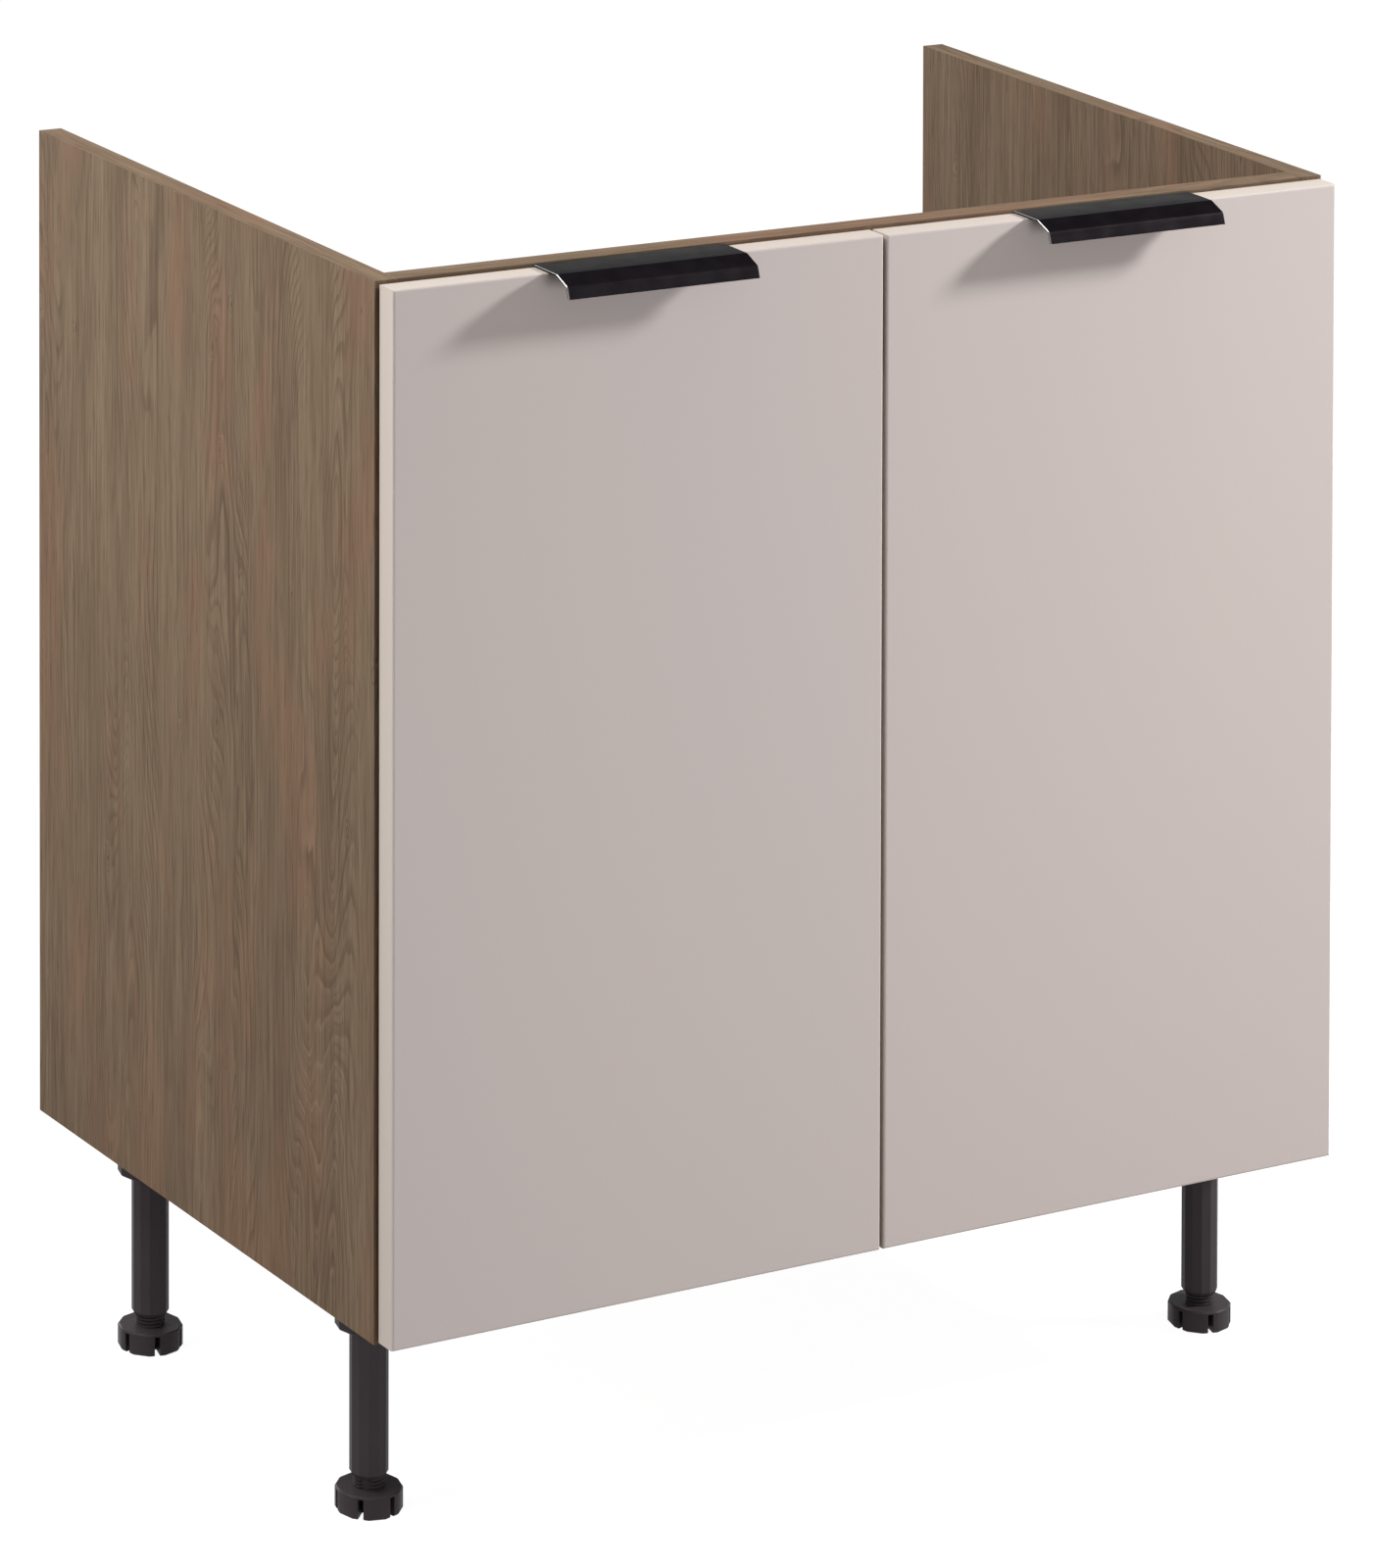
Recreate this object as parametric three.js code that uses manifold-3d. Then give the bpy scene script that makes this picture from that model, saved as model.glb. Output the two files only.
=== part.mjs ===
// Sink base cabinet: open-topped carcass, two overlay doors on concealed cup hinges, hooked edge
// pulls and four adjustable legs. Millimetres, +X right, +Y to the back, +Z up. The origin is on
// the floor, under the middle of the whole cabinet, handles included.
import * as THREE from "three";
import { mergeVertices } from "three/addons/utils/BufferGeometryUtils.js";
import Module from "manifold-3d";

const wasm = await Module();
wasm.setup();

// ---- Driving dimensions ------------------------------------------------------------------------
const cabinet = { width: 800, carcassHeight: 720, carcassDepth: 480, board: 18 };
const rail = { height: 100 };
const door = {
  thickness: 18,
  backGap: 2.5,
  sideReveal: 2.5,
  topReveal: 2,
  bottomReveal: 2,
  middleGap: 3,
  edge: 1.5,
};
const pull = {
  length: 154,
  plate: 1.5,
  reach: 27,
  backLeg: 20,
  lipDrop: 14,
  bend: 2,
  slopeStart: 15.5,
  slopeEnd: 2.5,
  slopeDrop: 5.5,
};
const leg = {
  height: 150,
  fromSide: 44,
  fromFront: 81,
  fromBack: 87,
  sides: 12,
  tubeRadius: 13.5,
  tubeWall: 2,
  tubeEnd: 0.3,
  tubeChamfer: 2.6,
  plateRadius: 31,
  plateThickness: 4,
  collarRadius: 23.5,
  collarDrop: 23,
  collarEdge: 0.8,
  screwCircle: 27.5,
  screwHole: 2.2,
  footRadius: 23.45,
  footHeight: 16,
  footRoof: 2,
  footEdge: 1,
  slots: 6,
  slotWidth: 4,
  slotReach: 10,
  stemShown: 7.8,
  stemLength: 46,
};
const camFitting = {
  radius: 7.2,
  overHead: 0.2,
  fromEnd: 34,
  fromEdge: 30,
  boltInSide: 11,
  threadRadius: 3.4,
  shaftRadius: 3,
  neckRadius: 2.1,
  headRadius: 3.1,
  headLength: 3,
  crossReach: 4,
  crossWidth: 1.2,
  crossDepth: 1.8,
};
const hinge = {
  fromTop: 130,
  fromBottom: 100,
  tab: 4,
  cupRadius: 17.5,
  cupWall: 0.8,
  cupDepth: 12.3,
  cupEdge: 1,
  flange: 1.2,
  flangeLength: 54,
  flangeWidth: 26,
  screwSpacing: 45,
  screwHole: 1.8,
  pinRadius: 1.3,
  linkWidth: 3,
  eyeRadius: 2.2,
  innerLink: 4,
  cheek: 2,
  armWall: 1.5,
  armLength: 52,
  noseMargin: 1,
  roofStart: 10,
  roofSlope: 4,
  roofFall: 0.7,
  plateFromFront: 37,
  plateHoles: 32,
  plateThickness: 2,
  plateTail: 28,
  wingWidth: 12,
  ridgeStart: 1,
  ridgeHeight: 6,
};
const clearance = { seat: 0.3, pin: 0.12, running: 0.3, thread: 0.15 };

// The hinge's linkage with the door shut, a unit that stands in its cup: each place is across from
// the cup's rim nearest the door's outer edge, and up from the inside of the cup's floor.
const linkage = {
  armOuter: { across: 21.46, up: 39.91 },
  armInner: { across: 28.58, up: 40.19 },
  cupOuter: { across: 3.87, up: 9.47 },
  cupInner: { across: 7.15, up: 3.88 },
  outerBend: { across: 24.02, up: 2.25 },
  innerBend: { across: 17.86, up: 1.54 },
};
// Turns in degrees from shut to fully open: the door, and each link about its pin in the arm.
const travel = { door: 94, outerLink: 28.3, innerLink: 11.2 };

// ---- Derived places ----------------------------------------------------------------------------
const depth = pull.reach + door.thickness + door.backGap + cabinet.carcassDepth;
const backY = depth / 2;
const frontY = backY - cabinet.carcassDepth;
const doorBackY = frontY - door.backGap;
const doorFrontY = doorBackY - door.thickness;
const sideX = cabinet.width / 2;
const innerX = sideX - cabinet.board;
const bottomZ = leg.height;
const floorTopZ = bottomZ + cabinet.board;
const topZ = bottomZ + cabinet.carcassHeight;
const rearRailZ = floorTopZ + clearance.seat;
const doorBottomZ = bottomZ + door.bottomReveal;
const doorTopZ = topZ - door.topReveal;
const hingeZ = { upper: doorTopZ - hinge.fromTop, lower: doorBottomZ + hinge.fromBottom };

// ---- Finishes ----------------------------------------------------------------------------------
const finish = {
  oak: { color: 0x80705f, roughness: 0.65, metalness: 0 },
  door: { color: 0xcbbfba, roughness: 0.5, metalness: 0 },
  pull: { color: 0x161618, roughness: 0.4, metalness: 0.4 },
  legPlastic: { color: 0x2b282b, roughness: 0.55, metalness: 0 },
  steel: { color: 0xb9bab8, roughness: 0.35, metalness: 1 },
  zinc: { color: 0xa7a8a6, roughness: 0.45, metalness: 1 },
};

// ---- Solids ------------------------------------------------------------------------------------
const through = 1; // how far a cutting shape runs past the face that it opens

function solid(geometry) {
  const bare = geometry.clone();
  bare.deleteAttribute("normal");
  bare.deleteAttribute("uv");
  const merged = mergeVertices(bare, 1e-4);
  return new wasm.Manifold(new wasm.Mesh({
    numProp: 3,
    vertProperties: new Float32Array(merged.attributes.position.array),
    triVerts: new Uint32Array(merged.index.array),
  }));
}

function geometryOf(body) {
  const mesh = body.getMesh();
  const geometry = new THREE.BufferGeometry();
  geometry.setAttribute("position", new THREE.BufferAttribute(new Float32Array(mesh.vertProperties), 3));
  geometry.setIndex(new THREE.BufferAttribute(new Uint32Array(mesh.triVerts), 1));
  return geometry;
}

function joined(...bodies) {
  return bodies.reduce((all, body) => all.add(body));
}

// A box between limits on each axis.
function block([x0, x1], [y0, y1], [z0, z1]) {
  const box = new THREE.BoxGeometry(x1 - x0, y1 - y0, z1 - z0);
  box.translate((x0 + x1) / 2, (y0 + y1) / 2, (z0 + z1) / 2);
  return solid(box);
}

// A revolved profile of [radius, height] points, standing along +Z.
function turned(profile, segments) {
  const points = profile.map(([radius, height]) => new THREE.Vector2(radius, height));
  return new THREE.LatheGeometry(points, segments).rotateX(Math.PI / 2);
}

function rod(radius, from, to, segments = 10) {
  return turned([[0, from], [radius, from], [radius, to], [0, to]], segments);
}

function alongX(geometry) {
  return geometry.rotateY(Math.PI / 2);
}

function alongY(geometry) {
  return geometry.rotateX(-Math.PI / 2);
}

// Takes a shape drawn in XY and raised along Z to YZ and along X.
function raisedAlongX(geometry) {
  const axes = [[0, 1, 0], [0, 0, 1], [1, 0, 0]].map((axis) => new THREE.Vector3(...axis));
  return geometry.applyMatrix4(new THREE.Matrix4().makeBasis(...axes));
}

// An outline in the XY plane, raised from z0 to z1.
function prism(shape, z0, z1, curveSegments = 5) {
  const settings = { depth: z1 - z0, bevelEnabled: false, curveSegments };
  return solid(new THREE.ExtrudeGeometry(shape, settings).translate(0, 0, z0));
}

function polygon(points) {
  return new THREE.Shape(points.map(([x, y]) => new THREE.Vector2(x, y)));
}

// The outline of a bar with round ends from a to b.
function bar(a, b, radius) {
  const turn = Math.atan2(b.y - a.y, b.x - a.x);
  const quarter = Math.PI / 2;
  const shape = new THREE.Shape();
  shape.absarc(b.x, b.y, radius, turn - quarter, turn + quarter, false);
  shape.absarc(a.x, a.y, radius, turn + quarter, turn + 3 * quarter, false);
  return shape;
}

// The inner corner of a strip that bends at a point, half the strip's width from both its arms.
function mitre(point, toA, toB, half) {
  const middle = toA.clone().add(toB).normalize();
  const sine = Math.abs(middle.cross(toA));
  return point.clone().addScaledVector(middle, half / sine);
}

// The outline of a link that bends once between its two eyes.
function bentLink(a, bend, b, half, eyeRadius) {
  const leftTurn = a.clone().sub(bend).cross(b.clone().sub(bend)) > 0;
  const [first, second] = leftTurn ? [a, b] : [b, a];
  const toFirst = first.clone().sub(bend).normalize();
  const toSecond = second.clone().sub(bend).normalize();
  const inside = mitre(bend, toFirst, toSecond, half);
  const neck = Math.PI - Math.asin(half / eyeRadius);
  const shape = new THREE.Shape();
  const eye = (centre, turn) => {
    shape.absarc(centre.x, centre.y, eyeRadius, turn - neck, turn + neck, false);
  };
  eye(first, toFirst.angle());
  shape.lineTo(inside.x, inside.y);
  eye(second, toSecond.angle());
  const quarter = Math.PI / 2;
  shape.absarc(bend.x, bend.y, half, toSecond.angle() + quarter, toFirst.angle() - quarter, false);
  return shape;
}

// ---- Scene helpers -----------------------------------------------------------------------------
const cabinetGroup = new THREE.Group();
const sides = [["left", -1], ["right", 1]];

function addNode(name, geometry, look, parent = cabinetGroup) {
  const mesh = new THREE.Mesh(geometry, new THREE.MeshStandardMaterial(finish[look]));
  mesh.name = name;
  parent.add(mesh);
  return mesh;
}

// Left-hand pieces are modelled; right-hand ones are their mirror images.
function handed(geometry, side) {
  if (side < 0) return geometry;
  const mirrored = geometry.clone().scale(-1, 1, 1);
  const order = mirrored.index.array;
  for (let i = 0; i < order.length; i += 3) [order[i + 1], order[i + 2]] = [order[i + 2], order[i + 1]];
  return mirrored;
}

// ---- Knock-down fittings -----------------------------------------------------------------------
// A cam lies in a blind bore of a rail or panel; its bolt runs along X into the side panel.
const camSpots = [
  { name: "front_rail", y: frontY + cabinet.board, z: topZ - rail.height / 2, faces: "back" },
  { name: "rear_rail", y: backY - cabinet.board, z: rearRailZ + rail.height / 2, faces: "front" },
  { name: "bottom_front", y: frontY + camFitting.fromEdge, z: bottomZ, faces: "down" },
  { name: "bottom_rear", y: backY - camFitting.fromEdge, z: bottomZ, faces: "down" },
];
const boardMiddle = cabinet.board / 2;
const camX = innerX - clearance.seat - camFitting.fromEnd;
const camLength = boardMiddle + camFitting.headRadius + camFitting.overHead;
const boltHole = Math.max(camFitting.threadRadius, camFitting.headRadius) + clearance.seat;
const boltStartX = innerX + camFitting.boltInSide;

// Turns a fitting that is modelled with its face at z = 0 and its body rising along +Z.
function facing(geometry, faces) {
  if (faces === "back") geometry.rotateX(Math.PI / 2);
  if (faces === "front") geometry.rotateX(-Math.PI / 2);
  return geometry;
}

// The bolt's axis runs through the middle of the board.
function boltAxis(spot) {
  if (spot.faces === "back") return { y: spot.y - boardMiddle, z: spot.z };
  if (spot.faces === "front") return { y: spot.y + boardMiddle, z: spot.z };
  return { y: spot.y, z: spot.z + boardMiddle };
}

// The cam, its bolt towards -X: a slotted cap over a wall whose lips close behind the bolt's head.
function camGeometry() {
  const { radius, neckRadius, headRadius, headLength, crossReach, crossWidth, crossDepth } = camFitting;
  const room = clearance.seat;
  const pocket = headLength / 2 + room;
  const head = headRadius + room;
  const neck = neckRadius + room;
  const inside = [boardMiddle - head, camLength + room + through];
  const half = crossWidth / 2;
  const cuts = joined(
    block([-pocket, pocket], [-head, head], inside),
    block([-radius - through, 0], [-neck, neck], inside),
    block([-crossReach, crossReach], [-half, half], [0, crossDepth]),
    block([-half, half], [-crossReach, crossReach], [0, crossDepth]),
  );
  return geometryOf(solid(rod(radius, room, room + camLength, 24)).subtract(cuts));
}

// The bolt from its threaded end in the side panel at x = 0 to its head in the cam.
function boltGeometry() {
  const { radius, threadRadius, shaftRadius, neckRadius, headRadius, headLength, boltInSide } = camFitting;
  const tip = 0.5;
  const point = 1.5;
  const taper = 1;
  const headEnd = boltStartX - camX + headLength / 2;
  const headStart = headEnd - headLength;
  const neckStart = boltStartX - camX - radius - clearance.seat;
  return alongX(turned([
    [0, tip],
    [threadRadius - taper, tip],
    [threadRadius, tip + point],
    [threadRadius, boltInSide - taper],
    [shaftRadius, boltInSide],
    [shaftRadius, neckStart - taper / 2],
    [neckRadius, neckStart],
    [neckRadius, headStart],
    [headRadius, headStart],
    [headRadius, headEnd],
    [0, headEnd],
  ], 10));
}

function fittingBores(spot) {
  const { radius } = camFitting;
  const room = clearance.seat;
  const axis = boltAxis(spot);
  const bore = facing(rod(radius + room, -through, camLength + 2 * room, 24), spot.faces);
  const hole = alongX(rod(boltHole, camX, innerX + through)).translate(0, axis.y, axis.z);
  return solid(bore.translate(camX, spot.y, spot.z)).add(solid(hole));
}

function sideHole(spot) {
  const axis = boltAxis(spot);
  const hole = alongX(rod(boltHole, innerX - through, boltStartX));
  return solid(hole.translate(0, axis.y, axis.z));
}

const camShape = camGeometry();
const boltShape = boltGeometry();
for (const [sideName, side] of sides) {
  for (const spot of camSpots) {
    const axis = boltAxis(spot);
    const camBody = facing(handed(camShape, side).clone(), spot.faces);
    const cam = addNode(`cam_${spot.name}_${sideName}`, camBody, "zinc");
    cam.position.set(side * camX, spot.y, spot.z);
    const bolt = addNode(`cam_bolt_${spot.name}_${sideName}`, handed(boltShape, side), "steel");
    bolt.position.set(side * boltStartX, axis.y, axis.z);
  }
}

// ---- Carcass -----------------------------------------------------------------------------------
// A board that spans between the side panels, bored for the given fittings at both ends.
function spanningBoard(y, z, spots) {
  const end = innerX - clearance.seat;
  let body = block([-end, end], y, z);
  for (const spot of spots) {
    const bores = geometryOf(fittingBores(spot));
    body = body.subtract(solid(bores)).subtract(solid(handed(bores, 1)));
  }
  return geometryOf(body);
}

function sidePanel() {
  let panel = block([innerX, sideX], [frontY, backY], [bottomZ, topZ]);
  for (const spot of camSpots) panel = panel.subtract(sideHole(spot));
  return geometryOf(panel);
}

const [frontRailCam, rearRailCam, ...bottomCams] = camSpots;
const frontRailY = [frontY, frontY + cabinet.board];
const rearRailY = [backY - cabinet.board, backY];
const frontRail = spanningBoard(frontRailY, [topZ - rail.height, topZ], [frontRailCam]);
const rearRail = spanningBoard(rearRailY, [rearRailZ, rearRailZ + rail.height], [rearRailCam]);
addNode("bottom_panel", spanningBoard([frontY, backY], [bottomZ, floorTopZ], bottomCams), "oak");
addNode("front_rail", frontRail, "oak");
addNode("rear_rail", rearRail, "oak");
addNode("side_right", sidePanel(), "oak");
addNode("side_left", handed(sidePanel(), 1), "oak");

// ---- Doors -------------------------------------------------------------------------------------
const doorOuter = sideX - door.sideReveal;
const doorInner = door.middleGap / 2;
const cupCentreX = door.sideReveal + hinge.tab + hinge.cupRadius;

// The left door: a slab with softened front edges and a blind bore for each hinge cup.
function doorGeometry() {
  const { edge, thickness } = door;
  const left = -doorOuter + edge;
  const right = -doorInner - edge;
  const low = doorBottomZ + edge;
  const high = doorTopZ - edge;
  const spare = 2 * edge; // the back's own rounding, cut away
  const outline = polygon([[left, low], [right, low], [right, high], [left, high]]);
  const slab = new THREE.ExtrudeGeometry(outline, {
    depth: thickness - edge + spare,
    bevelThickness: edge,
    bevelSize: edge,
    bevelSegments: 3,
  });
  slab.rotateX(Math.PI / 2).translate(0, doorBackY + spare, 0);
  let body = solid(slab).subtract(block([-sideX, 0], [doorBackY, doorBackY + thickness], [0, topZ]));
  const boreRadius = hinge.cupRadius + clearance.seat;
  const boreDepth = hinge.cupDepth + clearance.seat;
  for (const z of Object.values(hingeZ)) {
    const bore = alongY(rod(boreRadius, -boreDepth, through, 24));
    body = body.subtract(solid(bore.translate(-sideX + cupCentreX, doorBackY, z)));
  }
  return geometryOf(body);
}

// ---- Edge pulls --------------------------------------------------------------------------------
// The outline of a plate bent along a centre line, with round bends.
function bentPlate(points, thickness, bend) {
  const arcStep = 0.35;
  const path = [points[0]];
  for (let i = 1; i < points.length - 1; i++) {
    const corner = points[i];
    const into = corner.clone().sub(points[i - 1]).normalize();
    const out = points[i + 1].clone().sub(corner).normalize();
    const turn = Math.acos(into.dot(out));
    const reach = bend * Math.tan(turn / 2);
    const start = corner.clone().addScaledVector(into, -reach);
    const end = corner.clone().addScaledVector(out, reach);
    const curve = new THREE.QuadraticBezierCurve(start, corner, end);
    path.push(...curve.getPoints(Math.max(2, Math.ceil(turn / arcStep))));
  }
  path.push(points[points.length - 1]);
  const faces = [1, -1].map((sign) => path.map((point, i) => {
    const ahead = path[Math.min(i + 1, path.length - 1)];
    const behind = path[Math.max(i - 1, 0)];
    const along = ahead.clone().sub(behind).normalize();
    return point.clone().add(new THREE.Vector2(-along.y, along.x).multiplyScalar(sign * thickness / 2));
  }));
  return new THREE.Shape([...faces[0], ...faces[1].reverse()]);
}

// The pull's section in (y, z): up the door's back, over its top edge, out past its front and down.
function pullGeometry() {
  const { plate, reach, backLeg, lipDrop, bend, slopeStart, slopeEnd, slopeDrop, length } = pull;
  const half = plate / 2;
  const backLegY = doorBackY + clearance.seat + half;
  const topLineZ = doorTopZ + clearance.seat + half;
  const lipY = doorFrontY - reach + half;
  const path = [
    [backLegY, doorTopZ - backLeg],
    [backLegY, topLineZ],
    [lipY + slopeStart, topLineZ],
    [lipY + slopeEnd, topLineZ - slopeDrop],
    [lipY, topZ - lipDrop],
  ].map(([y, z]) => new THREE.Vector2(y, z));
  const strip = prism(bentPlate(path, plate, bend), -length / 2, length / 2);
  return geometryOf(solid(raisedAlongX(geometryOf(strip))));
}

const doorShape = doorGeometry();
const pullShape = pullGeometry();
for (const [sideName, side] of sides) {
  addNode(`door_${sideName}`, handed(doorShape, side), "door");
  const handle = addNode(`handle_${sideName}`, pullShape, "pull");
  handle.position.x = side * (doorOuter + doorInner) / 2;
}

// ---- Concealed hinges --------------------------------------------------------------------------
// Each hinge stands in its own frame: x from the side panel's outer face towards the cabinet's
// middle, y from the carcass front, z from the hinge's centre line. The left one is modelled.
const cupRimX = door.sideReveal + hinge.tab;
const cupMouthY = -door.backGap;
const cupFloorY = cupMouthY - hinge.cupDepth + hinge.cupWall;
const placed = ({ across, up }) => new THREE.Vector2(cupRimX + across, cupFloorY + up);
const pivot = {
  armOuter: placed(linkage.armOuter),
  armInner: placed(linkage.armInner),
  cupOuter: placed(linkage.cupOuter),
  cupInner: placed(linkage.cupInner),
};
const linkBend = { outer: placed(linkage.outerBend), inner: placed(linkage.innerBend) };

// Half-heights of the pieces stacked on the pins.
const layer = { inner: hinge.innerLink / 2 };
layer.cheekIn = layer.inner + clearance.running;
layer.cheekOut = layer.cheekIn + hinge.cheek;
layer.armIn = layer.cheekOut + clearance.running;
layer.armOut = layer.armIn + hinge.armWall;
const pinHole = hinge.pinRadius + clearance.pin;

function upright(centre, radius, halfHeight) {
  return solid(rod(radius, -halfHeight, halfHeight).translate(centre.x, centre.y, 0));
}

// The cup: a thin shell in the door's bore, wings that screw to the door's back, and its two pins.
function cupGeometry() {
  const { cupRadius, cupWall, cupDepth, cupEdge, flange, flangeLength, flangeWidth } = hinge;
  const insideRadius = cupRadius - cupWall;
  const insideFloor = cupWall - cupDepth;
  const flangeStart = clearance.seat;
  const flangeEnd = flangeStart + flange;
  const shell = solid(turned([
    [0, -cupDepth],
    [cupRadius - cupEdge, -cupDepth],
    [cupRadius, -cupDepth + cupEdge],
    [cupRadius, flangeEnd],
    [insideRadius, flangeEnd],
    [insideRadius, insideFloor],
    [0, insideFloor],
  ], 24));
  const end = new THREE.Vector2(0, (flangeLength - flangeWidth) / 2);
  let wings = prism(bar(end.clone().negate(), end, flangeWidth / 2), flangeStart, flangeEnd);
  wings = wings.subtract(solid(rod(cupRadius - cupWall / 2, 0, flangeEnd + through, 24)));
  for (const sign of [-1, 1]) {
    const hole = rod(hinge.screwHole, 0, flangeEnd + through);
    wings = wings.subtract(solid(hole.translate(0, sign * hinge.screwSpacing / 2, 0)));
  }
  // The mouth opens along +Y; the wings reach up and down along Z.
  const inDoor = (body) => solid(alongY(geometryOf(body)).translate(cupCentreX, cupMouthY, 0));
  const envelope = inDoor(solid(rod(cupRadius - cupWall / 2, -cupDepth, flangeEnd, 24)));
  const bothPins = joined(
    upright(pivot.cupOuter, hinge.pinRadius, cupRadius),
    upright(pivot.cupInner, hinge.pinRadius, cupRadius),
  );
  return geometryOf(inDoor(shell.add(wings)).add(bothPins.intersect(envelope)));
}

// The goose-necked outer link: two cheeks, joined by a sleeve round the arm's outer pin.
function outerLinkGeometry() {
  const { linkWidth, eyeRadius } = hinge;
  const outline = bentLink(pivot.cupOuter, linkBend.outer, pivot.armOuter, linkWidth / 2, eyeRadius);
  const sleeveRadius = (pinHole + eyeRadius) / 2;
  const link = joined(
    prism(outline, layer.cheekIn, layer.cheekOut),
    prism(outline, -layer.cheekOut, -layer.cheekIn),
    upright(pivot.armOuter, sleeveRadius, layer.cheekOut),
  );
  const holes = joined(
    upright(pivot.cupOuter, pinHole, layer.armOut),
    upright(pivot.armOuter, pinHole, layer.armOut),
  );
  return geometryOf(link.subtract(holes));
}

// Where the arm's inner pin lies in the inner link, along and across the line of its two pivots,
// when the door is open by the given share of its travel.
function innerPinInLink(share) {
  const { armOuter, armInner, cupOuter, cupInner } = pivot;
  const turn = (point, centre, degrees) => {
    return point.clone().rotateAround(centre, THREE.MathUtils.degToRad(degrees));
  };
  const cupShift = turn(cupOuter, armOuter, travel.outerLink * share).sub(cupOuter);
  const cupPin = turn(cupInner, cupOuter, -travel.door * share).add(cupShift);
  const linkTurn = travel.innerLink * share;
  const span = armInner.clone().sub(cupInner);
  const linkEnd = turn(span, new THREE.Vector2(), linkTurn).add(cupPin);
  const miss = turn(armInner.clone().sub(linkEnd), new THREE.Vector2(), -linkTurn);
  const along = span.normalize();
  return { along: miss.dot(along), across: miss.cross(along) };
}

// The inner link between the cheeks. Its end at the arm is a slot, because the turns above keep
// constant ratios, which a closed four-bar linkage only nearly does.
function innerLinkGeometry() {
  const { linkWidth, eyeRadius } = hinge;
  const { cupInner, armInner } = pivot;
  const outline = bentLink(cupInner, linkBend.inner, armInner, linkWidth / 2, eyeRadius);
  const steps = 20;
  const places = Array.from({ length: steps + 1 }, (unused, i) => innerPinInLink(i / steps));
  const alongs = places.map((place) => place.along);
  const across = Math.max(...places.map((place) => Math.abs(place.across)));
  const line = armInner.clone().sub(cupInner).normalize();
  const slotStart = armInner.clone().addScaledVector(line, Math.min(...alongs));
  const slotEnd = armInner.clone().addScaledVector(line, Math.max(...alongs));
  const slotRadius = pinHole + across;
  const wall = eyeRadius - pinHole;
  const link = joined(
    prism(outline, -layer.inner, layer.inner),
    prism(bar(slotStart, slotEnd, slotRadius + wall), -layer.inner, layer.inner),
  );
  const cuts = joined(
    upright(cupInner, pinHole, layer.armOut),
    prism(bar(slotStart, slotEnd, slotRadius), -layer.armOut, layer.armOut),
  );
  return geometryOf(link.subtract(cuts));
}

const plateBaseX = cabinet.board + clearance.seat;
const plateTopX = plateBaseX + hinge.plateThickness;
const armFootX = plateTopX + clearance.seat;
const armNoseY = pivot.armOuter.y - hinge.eyeRadius - hinge.noseMargin;
const roofStartY = pivot.armOuter.y + hinge.roofStart;

// The arm: a folded channel over the plate's ridge, open above its nose, with the two pins there.
function armGeometry() {
  const { armWall, armLength, roofSlope, roofFall, eyeRadius, noseMargin, ridgeHeight } = hinge;
  const tailY = armNoseY + armLength;
  const noseTopX = pivot.armInner.x + eyeRadius + noseMargin;
  const roofX = noseTopX - roofFall;
  const tailX = armFootX + ridgeHeight + clearance.seat + armWall;
  const outline = polygon([
    [armFootX + eyeRadius, armNoseY],
    [noseTopX, armNoseY],
    [noseTopX, roofStartY - roofSlope],
    [roofX, roofStartY],
    [tailX, tailY],
    [armFootX, tailY],
    [armFootX, roofStartY - roofSlope],
  ]);
  const inside = polygon([
    [armFootX - through, armNoseY - through],
    [noseTopX + through, armNoseY - through],
    [noseTopX + through, roofStartY],
    [roofX - armWall, roofStartY],
    [tailX - armWall, tailY + through],
    [armFootX - through, tailY + through],
  ]);
  const folded = prism(outline, -layer.armOut, layer.armOut);
  const channel = folded.subtract(prism(inside, -layer.armIn, layer.armIn));
  return geometryOf(joined(
    channel,
    upright(pivot.armOuter, hinge.pinRadius, layer.armOut),
    upright(pivot.armInner, hinge.pinRadius, layer.armOut),
  ));
}

// The mounting plate on the side panel: a cross whose wings are screwed down in the panel's line of
// holes, with the ridge that the arm straddles.
function plateGeometry() {
  const { plateThickness, plateFromFront, plateHoles, plateTail, wingWidth, screwHole } = hinge;
  const hole = (sign) => new THREE.Vector2(plateFromFront, sign * plateHoles / 2);
  const spineStart = new THREE.Vector2(plateFromFront, 0);
  const spineEnd = new THREE.Vector2(plateFromFront + plateTail, 0);
  const ridgeY = [roofStartY + hinge.ridgeStart, spineEnd.x];
  const ridgeHalf = layer.armIn - clearance.seat;
  let plate = joined(
    prism(bar(hole(-1), hole(1), wingWidth / 2), 0, plateThickness),
    prism(bar(spineStart, spineEnd, layer.armOut), 0, plateThickness),
    block(ridgeY, [-ridgeHalf, ridgeHalf], [0, plateThickness + hinge.ridgeHeight]),
  );
  for (const { x, y } of [hole(-1), hole(1)]) {
    const cut = rod(screwHole, -through, plateThickness + through);
    plate = plate.subtract(solid(cut.translate(x, y, 0)));
  }
  return geometryOf(solid(raisedAlongX(geometryOf(plate)).translate(plateBaseX, 0, 0)));
}

const hingeShapes = {
  cup: cupGeometry(),
  outer_link: outerLinkGeometry(),
  inner_link: innerLinkGeometry(),
  arm: armGeometry(),
  plate: plateGeometry(),
};
for (const [sideName, side] of sides) {
  for (const [level, z] of Object.entries(hingeZ)) {
    const group = new THREE.Group();
    group.position.set(side * sideX, frontY, z);
    for (const [piece, shape] of Object.entries(hingeShapes)) {
      addNode(`hinge_${level}_${sideName}_${piece}`, handed(shape, side), "steel", group);
    }
    cabinetGroup.add(group);
  }
}

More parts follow.
